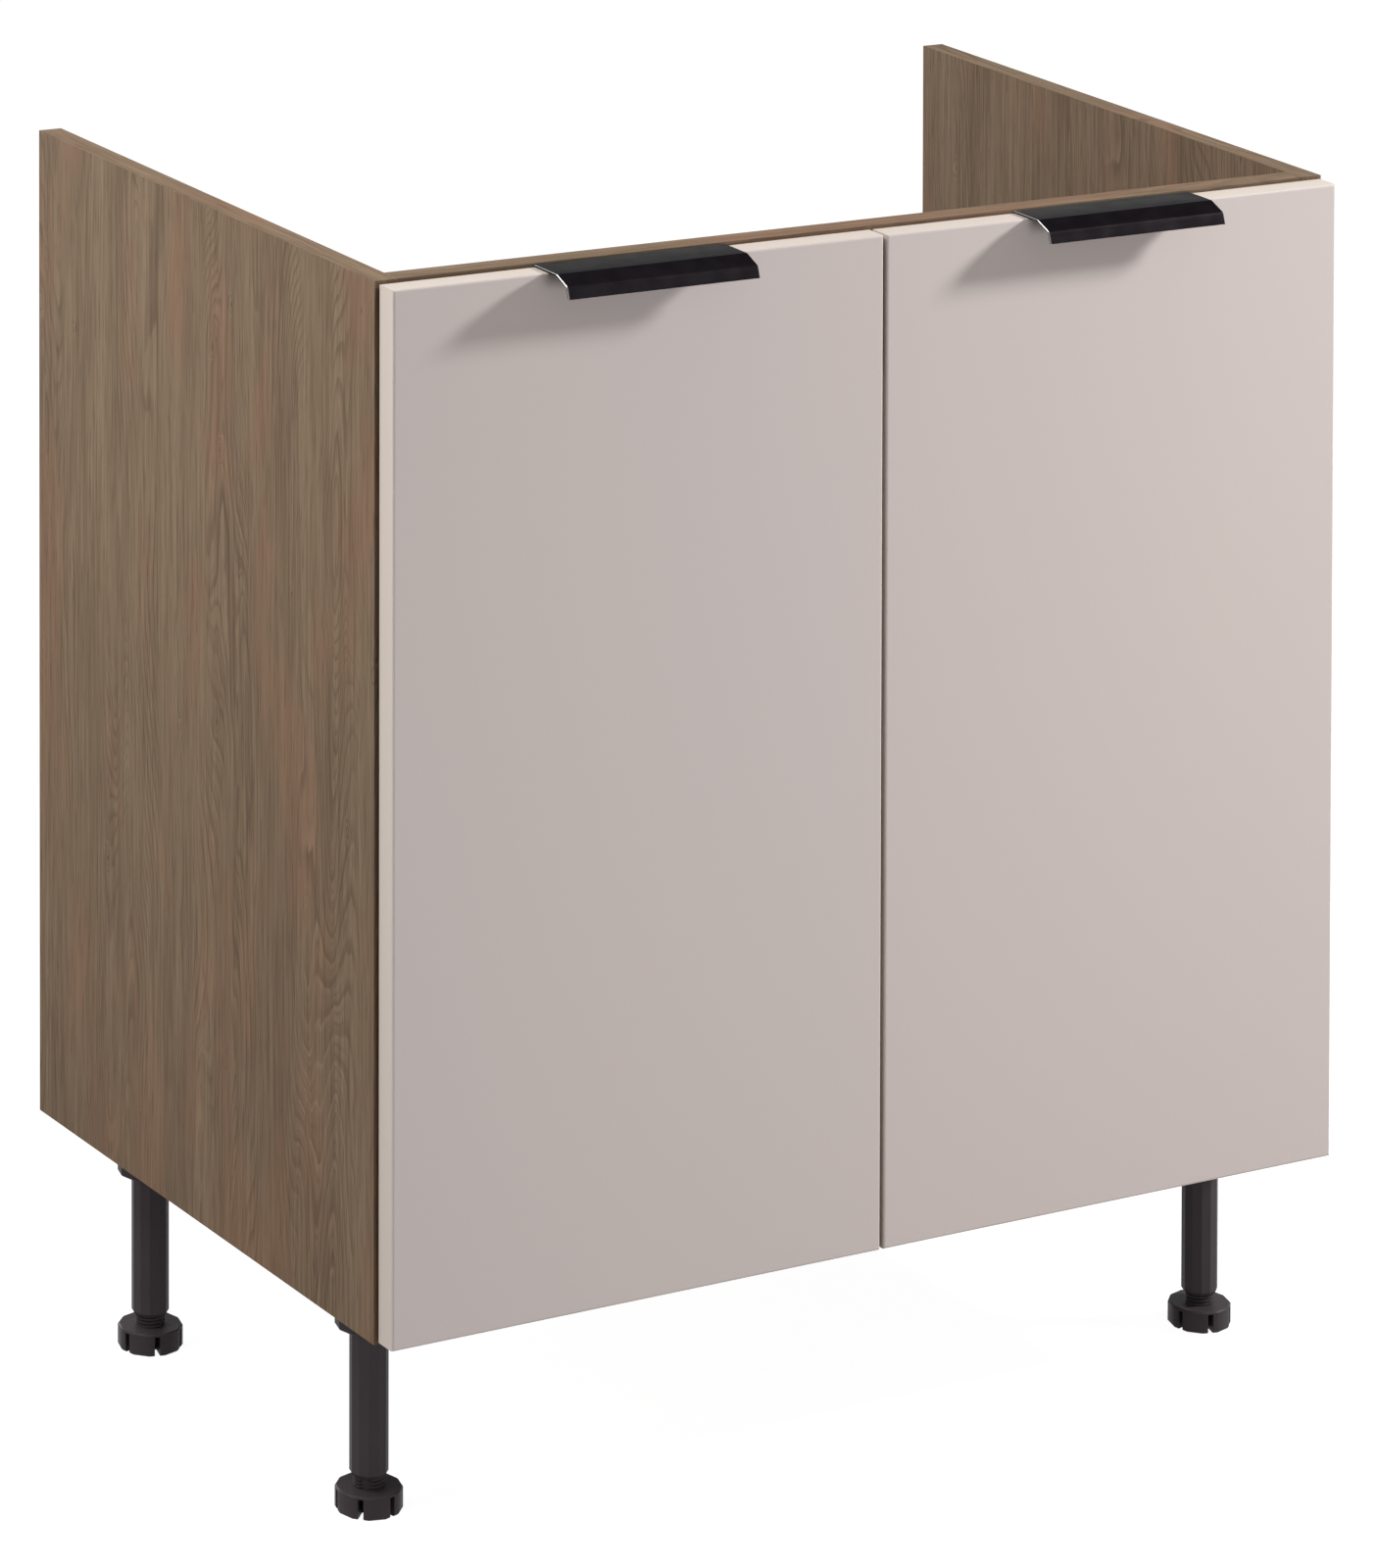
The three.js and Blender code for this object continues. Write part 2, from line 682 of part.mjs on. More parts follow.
// ---- Legs --------------------------------------------------------------------------------------
const facet = Math.PI / leg.sides;
const tubeBore = leg.tubeRadius - leg.tubeWall;
const stemRadius = tubeBore * Math.cos(facet) - clearance.thread;
const tubeStart = leg.footHeight + leg.stemShown;
const socketTop = leg.height - clearance.seat;
const socketPlateBottom = socketTop - leg.plateThickness;

// The socket: a round plate under the bottom panel with a twelve-sided collar for the tube.
function socketGeometry() {
  const { plateRadius, collarRadius, collarDrop, collarEdge, screwCircle, screwHole, tubeRadius } = leg;
  const collarBottom = leg.height - collarDrop;
  const collar = turned([
    [0, collarBottom],
    [collarRadius - collarEdge, collarBottom],
    [collarRadius, collarBottom + collarEdge],
    [collarRadius, socketTop - collarEdge],
    [0, socketTop - collarEdge],
  ], leg.sides);
  let socket = solid(rod(plateRadius, socketPlateBottom, socketTop, 24)).add(solid(collar));
  socket = socket.subtract(solid(rod(tubeRadius + clearance.seat, 0, socketPlateBottom, leg.sides)));
  for (let quarter = 0; quarter < 4; quarter++) {
    const turn = (quarter + 0.5) * Math.PI / 2;
    const hole = rod(screwHole, 0, leg.height + through);
    hole.translate(Math.cos(turn) * screwCircle, Math.sin(turn) * screwCircle, 0);
    socket = socket.subtract(solid(hole));
  }
  return geometryOf(socket);
}

// The tube: twelve flats outside and in, open below for the stem.
function tubeGeometry() {
  const top = socketPlateBottom - clearance.seat;
  return geometryOf(solid(turned([
    [tubeBore, tubeStart],
    [tubeBore + leg.tubeEnd, tubeStart],
    [leg.tubeRadius, tubeStart + leg.tubeChamfer],
    [leg.tubeRadius, top],
    [tubeBore, top],
    [tubeBore, tubeStart],
  ], leg.sides)));
}

// The foot: a twelve-sided disc, slotted for a spanner, on its threaded stem.
function footGeometry() {
  const { footRadius, footHeight, footRoof, footEdge, slots, slotWidth, slotReach, stemLength } = leg;
  let disc = solid(turned([
    [0, 0],
    [footRadius - footEdge, 0],
    [footRadius, footEdge],
    [footRadius, footHeight - footEdge],
    [footRadius - footEdge, footHeight],
    [0, footHeight],
  ], leg.sides));
  for (let i = 0; i < slots; i++) {
    const slot = new THREE.BoxGeometry(footRadius, slotWidth, footHeight);
    slot.translate(slotReach + footRadius / 2, 0, footHeight / 2 - footRoof);
    slot.rotateZ(facet + i * 2 * Math.PI / slots);
    disc = disc.subtract(solid(slot));
  }
  const stem = rod(stemRadius, footHeight - footEdge, footHeight + stemLength, 24);
  return geometryOf(disc.add(solid(stem)));
}

// How far each foot has been screwed round, in degrees.
const footTurn = { front_left: 30, front_right: 0, rear_left: 0, rear_right: 30 };
const legShapes = { socket: socketGeometry(), tube: tubeGeometry(), foot: footGeometry() };
const legRows = { front: frontY + leg.fromFront, rear: backY - leg.fromBack };
for (const [sideName, side] of sides) {
  for (const [row, y] of Object.entries(legRows)) {
    const place = `${row}_${sideName}`;
    const group = new THREE.Group();
    group.position.set(side * (sideX - leg.fromSide), y, 0);
    for (const [piece, shape] of Object.entries(legShapes)) {
      const mesh = addNode(`leg_${place}_${piece}`, shape, "legPlastic", group);
      mesh.rotation.z = piece === "foot" ? THREE.MathUtils.degToRad(footTurn[place]) : 0;
    }
    cabinetGroup.add(group);
  }
}

export default cabinetGroup;
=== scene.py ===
"""Looks of the sink base cabinet: finishes, edge pulls, threaded feet, screws, light and camera.

Metres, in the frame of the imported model: +X right, +Y to the back, +Z up, doors facing -Y.
"""

import math

import bmesh
import bpy
from mathutils import Matrix, Vector


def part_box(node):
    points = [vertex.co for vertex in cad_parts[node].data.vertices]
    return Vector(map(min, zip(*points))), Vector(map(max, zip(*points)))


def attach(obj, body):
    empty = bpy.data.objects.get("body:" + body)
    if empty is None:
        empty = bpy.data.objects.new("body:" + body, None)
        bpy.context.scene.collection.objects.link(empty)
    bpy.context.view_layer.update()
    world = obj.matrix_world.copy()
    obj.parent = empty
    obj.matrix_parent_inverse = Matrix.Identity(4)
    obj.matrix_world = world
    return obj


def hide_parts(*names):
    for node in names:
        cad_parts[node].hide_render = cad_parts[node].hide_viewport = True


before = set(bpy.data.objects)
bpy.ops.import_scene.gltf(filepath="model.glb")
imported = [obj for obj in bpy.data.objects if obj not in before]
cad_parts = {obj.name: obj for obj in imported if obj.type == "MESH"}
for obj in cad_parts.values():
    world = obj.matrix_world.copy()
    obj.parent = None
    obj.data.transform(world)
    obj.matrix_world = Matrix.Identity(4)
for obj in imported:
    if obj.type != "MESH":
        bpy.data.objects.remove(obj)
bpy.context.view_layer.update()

MM = 0.001
TAU = 2 * math.pi
SIDES = {"left": -1, "right": 1}
LEVELS = ("upper", "lower")
LEGS = [f"{row}_{side}" for row in ("front", "rear") for side in SIDES]


# ---- Colours, as they look in plain light (sRGB, 0 to 255) ----
OAK_LIGHT = (132, 113, 92)
OAK_DARK = (102, 84, 67)
OAK_RED = (136, 102, 82)
OAK_LINE = (84, 67, 53)
OAK_PALE = (146, 124, 102)
DOOR_FILM = (200, 189, 186)
DOOR_FILM_WARM = (202, 190, 185)
DOOR_FILM_FINE = (190, 178, 173)
DOOR_BAND = (202, 190, 180)
PULL_BLACK = (29, 26, 29)
PULL_CLOUD = (33, 30, 33)
PULL_RIM = (168, 166, 165)
LEG_CHARCOAL = (54, 48, 51)
LEG_CLOUD = (60, 54, 57)
# Painted shade for the legs' hollows, such as the grooves of the threads.
LEG_PAINTED_SHADE = (20, 17, 19)
LEG_SCUFF = (72, 67, 68)
NICKEL = (196, 194, 188)
ZINC = (168, 168, 164)
SCREW_STEEL = (184, 182, 176)
FLOOR_PALE = (130, 130, 130)
FLOOR_SPECK = (126, 126, 126)


def linear(rgb):
    """A colour given in sRGB, 0 to 255, as Blender's linear values."""
    def channel(value):
        share = value / 255
        return share / 12.92 if share <= 0.04045 else ((share + 0.055) / 1.055) ** 2.4
    return (*[channel(value) for value in rgb], 1.0)


# ---- Node trees ----
# The usual range of a noise.
NOISE_LOW, NOISE_HIGH = 0.3, 0.7


class Tree:
    """The nodes of a material or world. Its calls add nodes and return their output sockets."""

    def __init__(self, owner, shader="Principled BSDF"):
        owner.use_nodes = True
        self.owner = owner
        self.nodes = owner.node_tree.nodes
        self.links = owner.node_tree.links
        self.shader = self.nodes[shader]

    def node(self, kind, inputs=None, **settings):
        made = self.nodes.new("ShaderNode" + kind)
        for key, value in settings.items():
            setattr(made, key, value)
        for key, value in (inputs or {}).items():
            self.feed(value, made.inputs[key])
        return made

    def feed(self, value, socket):
        if isinstance(value, bpy.types.NodeSocket):
            self.links.new(value, socket)
        else:
            socket.default_value = value

    def math(self, operation, first, second=0.0):
        return self.node("Math", {0: first, 1: second}, operation=operation).outputs[0]

    def add(self, *terms):
        total = terms[0]
        for term in terms[1:]:
            total = self.math("ADD", total, term)
        return total

    def times(self, first, second):
        return self.math("MULTIPLY", first, second)

    def place(self):
        return self.node("TexCoord").outputs["Object"]

    def axes(self, vector):
        return self.node("SeparateXYZ", {"Vector": vector}).outputs

    def stretched(self, vector, scale, shift=(0, 0, 0)):
        return self.node("Mapping", {"Vector": vector, "Scale": scale, "Location": shift}).outputs[0]

    def noise(self, vector, scale=1.0, detail=2.0, roughness=0.5):
        made = self.node("TexNoise", {
            "Vector": vector, "Scale": scale, "Detail": detail, "Roughness": roughness,
        })
        return made.outputs["Fac"]

    def ramp(self, factor, low, high, to_low=0.0, to_high=1.0):
        """Maps low..high onto to_low..to_high along a smooth step."""
        made = self.node("MapRange", {
            "Value": factor, "From Min": low, "From Max": high, "To Min": to_low, "To Max": to_high,
        }, interpolation_type="SMOOTHSTEP")
        return made.outputs["Result"]

    def spread(self, noise, to_low=0.0, to_high=1.0):
        """Maps a noise's usual range onto to_low..to_high."""
        return self.ramp(noise, NOISE_LOW, NOISE_HIGH, to_low, to_high)

    def mix(self, factor, first, second):
        made = self.node("Mix", data_type="RGBA")
        for value, socket in zip((factor, first, second), (0, 6, 7)):
            self.feed(value, made.inputs[socket])
        return made.outputs[2]

    def edges(self, low, high, most):
        """How much of an outer edge a point lies on, from 0 to most. With high under low it is how
        much of a hollow it lies in."""
        return self.ramp(self.node("NewGeometry").outputs["Pointiness"], low, high, 0.0, most)

    def bump(self, height, distance, strength=1.0):
        made = self.node("Bump", {"Height": height, "Distance": distance, "Strength": strength})
        return made.outputs["Normal"]

    def seen_directly(self):
        """1 for what the camera sees, plainly or in metal or glass, and 0 for the light it gives."""
        path = self.node("LightPath").outputs
        seen = self.math("MAXIMUM", path["Is Camera Ray"], path["Is Glossy Ray"])
        return self.math("MAXIMUM", seen, path["Is Transmission Ray"])

    def finish(self, **sockets):
        """Feeds the shader: keys are its socket names with _ for a space."""
        for key, value in sockets.items():
            self.feed(value, self.shader.inputs[key.replace("_", " ")])
        return self.owner


# ---- Oak decor ----
# Growth lines: to a metre across, in an arch, in a waver and round a knot. The finer set of lines
# has FINER_LINES to each of the others.
LINES_ACROSS = 190
ARCH_LINES = 44
WAVER_LINES = 1.8
KNOT_LINES = 2.5
FINER_LINES = 2.6
# Features to a metre, across and along the grain. The last three are the sizes of the noises that
# break up the lines.
ARCHES = (11, 1.7)
WAVERS = (48, 8)
BANDS = (34, 0.9)
FIBRES = (380, 11)
PORES = (800, 34)
RED_PATCHES = (19, 6.5)
DARK_BREAKS = (26, 5)
FINE_BREAKS = (21, 3)
PALE_BREAKS = (13, 1.6)
# Knots to a metre along each axis of the grain, and in shares of the room between them: how far
# out they bend the lines, and where their dark eye starts and is full.
KNOTS = (5.5, 5.5, 2.4)
KNOT_REACH = 0.16
KNOT_EYE = (0.045, 0.012)
# How much of the colours under it each one covers at most.
RED_COVER = 0.40
PALE_COVER = 0.3
FINE_COVER = 0.42
DARK_COVER = 0.5
PORE_COVER = 0.45
KNOT_COVER = 0.75
# The tone's share that is the bands'; the rest is the fibres'.
BAND_SHARE = 0.35
# A face looks up or down where its normal's vertical part is more than this.
LOOKS_UP = 0.7


def grain_place(t, along, edge_along=None):
    """The place with its third axis along the grain. Faces that look up or down may have a grain
    direction of their own."""
    orders = {"x": (2, 1, 0), "y": (0, 2, 1), "z": (0, 1, 2)}
    parts = t.axes(t.place())

    def turned(axis):
        return t.node("CombineXYZ", {i: parts[part] for i, part in enumerate(orders[axis])}).outputs[0]

    if edge_along is None:
        return turned(along)
    up = t.axes(t.node("TexCoord").outputs["Normal"])[2]
    on_edge = t.math("GREATER_THAN", t.math("ABSOLUTE", up), LOOKS_UP)
    choice = t.node("Mix", {0: on_edge}, data_type="VECTOR")
    t.feed(turned(along), choice.inputs[4])
    t.feed(turned(edge_along), choice.inputs[5])
    return choice.outputs[1]


def oak(name, along, edge_along=None, shift=(0, 0, 0)):
    """Printed oak decor: close growth lines that arch here and there and close round small knots,
    with fibres, short pores and faint red patches."""
    t = Tree(bpy.data.materials.new(name))
    grain = grain_place(t, along, edge_along)

    def streaks(size, detail=2.0, roughness=0.5):
        across, lengthwise = size
        place = t.stretched(grain, (across, across, lengthwise), shift)
        return t.noise(place, detail=detail, roughness=roughness)

    knots = t.node("TexVoronoi", {"Vector": t.stretched(grain, KNOTS, shift)}).outputs["Distance"]
    parts = t.axes(grain)
    phase = t.add(
        t.times(t.add(parts[0], parts[1]), LINES_ACROSS),
        t.times(streaks(ARCHES, detail=1.6, roughness=0.42), ARCH_LINES),
        t.times(streaks(WAVERS, detail=3.0), WAVER_LINES),
        t.ramp(knots, KNOT_REACH, 0.0, 0.0, KNOT_LINES),
    )

    def lines(phase, seen):
        """Lines that darken slowly and end sharply, as far as they are seen."""
        ring = t.math("FRACT", phase)
        return t.times(t.times(t.ramp(ring, 0.5, 0.86), t.ramp(ring, 1.0, 0.93)), seen)

    dark_line = lines(phase, t.ramp(streaks(DARK_BREAKS), 0.40, 0.62, 0.1, 1.0))
    fine_line = lines(t.times(phase, FINER_LINES), t.ramp(streaks(FINE_BREAKS), 0.42, 0.60))
    past_line = t.ramp(t.math("FRACT", phase), 0.30, 0.06)
    pale_line = t.times(past_line, t.ramp(streaks(PALE_BREAKS), 0.48, 0.64))
    bands = streaks(BANDS, detail=3.0, roughness=0.55)
    fibres = streaks(FIBRES, detail=3.0, roughness=0.65)
    pores = t.ramp(streaks(PORES, detail=1.0, roughness=0.4), 0.57, 0.70)
    red = t.ramp(streaks(RED_PATCHES), 0.49, 0.66)

    tone = t.add(t.spread(bands, 0.0, BAND_SHARE), t.spread(fibres, 0.0, 1 - BAND_SHARE))
    colour = t.mix(tone, linear(OAK_LIGHT), linear(OAK_DARK))
    for where, cover, over in (
        (red, RED_COVER, OAK_RED),
        (pale_line, PALE_COVER, OAK_PALE),
        (fine_line, FINE_COVER, OAK_LINE),
        (dark_line, DARK_COVER, OAK_LINE),
        (pores, PORE_COVER, OAK_LINE),
    ):
        colour = t.mix(t.times(where, cover), colour, linear(over))
    colour = t.mix(t.ramp(knots, *KNOT_EYE, 0.0, KNOT_COVER), colour, linear(OAK_LINE))

    relief = t.add(t.times(pores, -0.7), t.times(dark_line, -0.3), t.times(fibres, 0.3))
    return t.finish(
        Base_Color=colour,
        Roughness=t.ramp(fibres, 0.2, 0.8, 0.60, 0.74),
        Normal=t.bump(relief, distance=0.12 * MM, strength=0.7),
        Specular_IOR_Level=0.06,
    )


# ---- Other finishes ----
# A face of a door is one of its edges where its normal's part along Y is less than this.
LOOKS_ASIDE = 0.5
PULL_CHAMFER = 0.35 * MM
PULL_END_FACE = 0.02 * MM
# The anodised film stays dark at a flat angle, where plain metal would shine.
PULL_FLAT_TINT = (0.46, 0.46, 0.46, 1)
# How bright the dull clouds of a plating are, in shares of its colour.
DULL_SHARE = 0.72


def door_film():
    """Matt greige film on fibreboard, faintly pebbled, with edges in a slightly warmer band."""
    t = Tree(bpy.data.materials.new("door_film"))
    place = t.place()
    drift = t.noise(t.stretched(place, (3.0, 3.0, 1.2)))
    fine = t.noise(place, scale=900)
    pebble = t.noise(place, scale=260, detail=3)
    colour = t.mix(t.spread(drift), linear(DOOR_FILM), linear(DOOR_FILM_WARM))
    colour = t.mix(t.spread(fine, 0.0, 0.06), colour, linear(DOOR_FILM_FINE))
    facing = t.math("ABSOLUTE", t.axes(t.node("TexCoord").outputs["Normal"])[1])
    relief = t.add(t.times(pebble, 0.7), t.times(fine, 0.3))
    return t.finish(
        Base_Color=t.mix(t.math("LESS_THAN", facing, LOOKS_ASIDE), colour, linear(DOOR_BAND)),
        Roughness=t.spread(pebble, 0.42, 0.52),
        Normal=t.bump(relief, distance=0.03 * MM, strength=0.6),
        Specular_IOR_Level=0.22,
    )


def pull_black():
    """Black anodised aluminium, satin along its length, with a polished rim round its ends. The
    pulls mirror each other, so the right one's place serves both."""
    t = Tree(bpy.data.materials.new("pull_black"))
    place = t.place()
    drawn = t.noise(t.stretched(place, (12, 900, 900)), detail=3, roughness=0.6)
    cloud = t.noise(place, scale=60, detail=3)
    low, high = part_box("handle_right")
    from_centre = t.math("ABSOLUTE", t.axes(place)[0])
    from_middle = t.math("ABSOLUTE", t.math("SUBTRACT", from_centre, (low.x + high.x) / 2))
    rim = t.times(
        t.math("GREATER_THAN", from_middle, (high.x - low.x) / 2 - PULL_CHAMFER),
        t.math("LESS_THAN", from_middle, (high.x - low.x) / 2 - PULL_END_FACE),
    )
    colour = t.mix(t.spread(cloud), linear(PULL_BLACK), linear(PULL_CLOUD))
    rough = t.add(t.ramp(drawn, 0.25, 0.75, 0.26, 0.34), t.ramp(cloud, 0.4, 0.7, 0.0, 0.05))
    return t.finish(
        Base_Color=t.mix(rim, colour, linear(PULL_RIM)),
        Roughness=rough,
        Metallic=1.0,
        Normal=t.bump(drawn, distance=0.01 * MM, strength=0.5),
        Specular_Tint=PULL_FLAT_TINT,
    )


def leg_plastic():
    """Charcoal moulded plastic with a fine spark-eroded grain, scuffed corners and painted shade in
    hollows.
    """
    t = Tree(bpy.data.materials.new("leg_plastic"))
    place = t.place()
    eroded = t.noise(place, scale=1400)
    cloud = t.noise(place, scale=38, detail=3)
    scuff = t.ramp(t.noise(t.stretched(place, (160, 160, 40)), detail=4, roughness=0.7), 0.55, 0.75)
    colour = t.mix(t.spread(cloud, 0.0, 0.5), linear(LEG_CHARCOAL), linear(LEG_CLOUD))
    colour = t.mix(t.times(scuff, 0.2), colour, linear(LEG_SCUFF))
    colour = t.mix(t.edges(0.52, 0.62, most=0.4), colour, linear(LEG_SCUFF))
    # Painted shade: hollows, such as the thread grooves, are darkened as if in shadow.
    colour = t.mix(t.edges(0.492, 0.455, most=0.9), colour, linear(LEG_PAINTED_SHADE))
    return t.finish(
        Base_Color=colour,
        Roughness=t.spread(eroded, 0.44, 0.60),
        Normal=t.bump(t.add(eroded, t.times(scuff, 0.4)), distance=0.04 * MM, strength=0.7),
        Specular_IOR_Level=0.1,
    )


def plated(name, rgb, rough, streak):
    """Plated metal: a clouded shine with fine rolling or casting marks. The streak says how many of
    these go to a metre along each axis."""
    t = Tree(bpy.data.materials.new(name))
    place = t.place()
    marks = t.noise(t.stretched(place, streak), detail=4, roughness=0.65)
    cloud = t.noise(place, scale=120, detail=3)
    dull = [channel * DULL_SHARE for channel in rgb]
    return t.finish(
        Base_Color=t.mix(t.ramp(cloud, 0.3, 0.75, 0.0, 0.6), linear(rgb), linear(dull)),
        Metallic=1.0,
        Roughness=t.ramp(marks, 0.25, 0.75, *rough),
        Normal=t.bump(marks, distance=0.02 * MM, strength=0.5),
    )


FINISHES = {
    "oak_side": oak("oak_side", along="z", edge_along="y", shift=(0.3, 0.9, 0.2)),
    "oak_rail": oak("oak_rail", along="x", shift=(3.1, 1.7, 0.4)),
    "door_film": door_film(),
    "pull_black": pull_black(),
    "leg_plastic": leg_plastic(),
    "nickel": plated("nickel", NICKEL, rough=(0.20, 0.36), streak=(300, 60, 300)),
    "zinc": plated("zinc", ZINC, rough=(0.34, 0.52), streak=(500, 500, 500)),
    "screw_steel": plated("screw_steel", SCREW_STEEL, rough=(0.22, 0.40), streak=(200, 900, 900)),
}
# The first of these whose start fits a node's name says its finish and how far its edges are broken.
NODE_FINISHES = (
    ("side_", "oak_side", 0.5 * MM),
    ("front_rail", "oak_rail", 0.4 * MM),
    ("rear_rail", "oak_rail", 0.4 * MM),
    ("bottom_panel", "oak_rail", 0.4 * MM),
    ("door_", "door_film", 0),
    ("leg_", "leg_plastic", 0.35 * MM),
    ("cam_bolt", "screw_steel", 0),
    ("cam_", "zinc", 0),
    ("hinge_", "nickel", 0.15 * MM),
)
SOFT_ANGLE = math.radians(40)


def paint_packed_model():
    for name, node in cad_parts.items():
        for start, finish, edge in NODE_FINISHES:
            if name.startswith(start):
                for slot in node.material_slots:
                    slot.material = FINISHES[finish]
                if edge:
                    soften(node, edge)
                break


def soften(node, width):
    """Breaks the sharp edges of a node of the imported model."""
    bevel = node.modifiers.new("soft_edges", "BEVEL")
    bevel.width = width
    bevel.segments = 2
    bevel.limit_method = "ANGLE"
    bevel.angle_limit = SOFT_ANGLE


# ---- Meshes ----
MERGE_DISTANCE = 1e-7


def piece(name, bm, finish, body, smooth_angle=35):
    """Turns a bmesh into a named object that rides on a body."""
    bmesh.ops.remove_doubles(bm, verts=bm.verts, dist=MERGE_DISTANCE)
    bmesh.ops.recalc_face_normals(bm, faces=bm.faces)
    limit = math.radians(smooth_angle)
    for face in bm.faces:
        face.smooth = True
    for edge in bm.edges:
        edge.smooth = len(edge.link_faces) == 2 and edge.calc_face_angle(0) < limit
    mesh = bpy.data.meshes.new(name)
    bm.to_mesh(mesh)
    bm.free()
    mesh.materials.append(FINISHES[finish])
    made = bpy.data.objects.new(name, mesh)
    bpy.context.scene.collection.objects.link(made)
    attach(made, body)
    return made


def loop_of(bm, points):
    """New vertices at the points."""
    return [bm.verts.new(point) for point in points]


def bridge(bm, first, second):
    """Faces all the way round between two closed loops."""
    for i, j in zip(range(len(first)), [*range(1, len(first)), 0]):
        bm.faces.new((first[i], first[j], second[j], second[i]))


def skin(bm, loops):
    """Faces from each loop to the next."""
    for first, second in zip(loops, loops[1:]):
        bridge(bm, first, second)


def circle(radius, count, z=0.0):
    turns = [TAU * i / count for i in range(count)]
    return [(radius * math.cos(turn), radius * math.sin(turn), z) for turn in turns]


# ---- Edge pulls ----
# The section's sizes: the sheet, its seat on the door, its bends, the lip and the slope before it.
PULL_PLATE = 1.5 * MM
PULL_SEAT = 0.3 * MM
PULL_BEND = 2.0 * MM
PULL_LIP = 14 * MM
SLOPE_START = 15.5 * MM
SLOPE_END = 2.5 * MM
SLOPE_DROP = 5.5 * MM
BEND_STEPS = 8


def rounded_path(points, radius):
    """The path with each inner corner replaced by an arc of the given radius."""
    path = [points[0]]
    for before, corner, after in zip(points, points[1:], points[2:]):
        into = (corner - before).normalized()
        out = (after - corner).normalized()
        turn = into.angle(out)
        side = math.copysign(1, into.cross(out))
        start = corner - into * radius * math.tan(turn / 2)
        centre = start + Vector((-into.y, into.x)) * side * radius
        for i in range(BEND_STEPS + 1):
            arm = start - centre
            arm.rotate(Matrix.Rotation(side * turn * i / BEND_STEPS, 2))
            path.append(centre + arm)
    path.append(points[-1])
    return path


def strip_outline(path, thickness):
    """The outline of a bent strip along its centre line: one side out, the other back."""
    sides = ([], [])
    for i, point in enumerate(path):
        along = (path[min(i + 1, len(path) - 1)] - path[max(i - 1, 0)]).normalized()
        across = Vector((-along.y, along.x)) * thickness / 2
        sides[0].append(point + across)
        sides[1].append(point - across)
    return sides[0] + sides[1][::-1]


def make_pull(side):
    """A folded pull. Its section goes up the door's back, over its top edge, out and down."""
    low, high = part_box(f"handle_{side}")
    door_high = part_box(f"door_{side}")[1]
    back_y = door_high.y + PULL_SEAT + PULL_PLATE / 2
    top_z = door_high.z + PULL_SEAT + PULL_PLATE / 2
    lip_y = low.y + PULL_PLATE / 2
    path = rounded_path([Vector(point) for point in (
        (back_y, low.z),
        (back_y, top_z),
        (lip_y + SLOPE_START, top_z),
        (lip_y + SLOPE_END, top_z - SLOPE_DROP),
        (lip_y, high.z - PULL_LIP),
    )], PULL_BEND)
    outline = strip_outline(path, PULL_PLATE)
    inset = strip_outline(path, PULL_PLATE - 2 * PULL_CHAMFER)
    sections = (
        (low.x, inset),
        (low.x + PULL_CHAMFER, outline),
        (high.x - PULL_CHAMFER, outline),
        (high.x, inset),
    )
    bm = bmesh.new()
    loops = [loop_of(bm, [(x, *point) for point in points]) for x, points in sections]
    skin(bm, loops)
    for loop in (loops[0], loops[-1]):
        for i in range(len(path) - 1):
            bm.faces.new((loop[i], loop[i + 1], loop[-2 - i], loop[-1 - i]))
    pull = piece(f"pull_{side}", bm, "pull_black", f"door_{side}", smooth_angle=30)
    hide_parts(f"handle_{side}")


# ---- Feet with their threaded stems ----
FOOT_SIDES = 12
FOOT_RADIUS = 23.45 * MM
FOOT_HEIGHT = 16 * MM
FOOT_ROOF = 2 * MM
FOOT_EDGE = 1 * MM
SLOT_WIDTH = 4 * MM
SLOT_REACH = 10 * MM
# The points of a disc's outline come in sectors: a corner, a slot's four points and the next
# corner. The middle two of the four are the slot's floor.
SECTOR_POINTS = 6
SLOT_START, SLOT_END = 1, 5
FLOOR_POINTS = (2, 3)
# How far each foot has been screwed round, in degrees.
FOOT_TURNS = {"front_left": 30, "front_right": 120, "rear_left": 120, "rear_right": 30}
STEM_LENGTH = 46 * MM
THREAD_CREST = 10.9 * MM
THREAD_ROOT = 9.0 * MM
THREAD_PITCH = 2.5 * MM
THREAD_STEPS = 14
THREAD_SIDES = 48
# Where the ridge's flanks start and end, from the middle of its crest, in pitches.
FLANK_START, FLANK_END = 0.30, 0.45
# The thread stops at two flats, across the stem from each other, that the mould leaves.
FLAT_MIDDLE = math.radians(16)
FLAT_HALF = math.radians(15)
FLAT_FADE = FLAT_HALF / 2


def foot_outline(radius):
    """The twelve-sided outline, with a slot in every second side."""
    corners = [Vector(point[:2]) for point in circle(radius, FOOT_SIDES)]
    points = []
    for i, start in enumerate(corners):
        end = corners[(i + 1) % FOOT_SIDES]
        points.append(start)
        if i % 2 == 0:
            middle = (start + end) / 2
            half = (end - start).normalized() * SLOT_WIDTH / 2
            floor = middle.normalized() * SLOT_REACH
            points += [middle - half, floor - half, floor + half, middle + half]
    return points


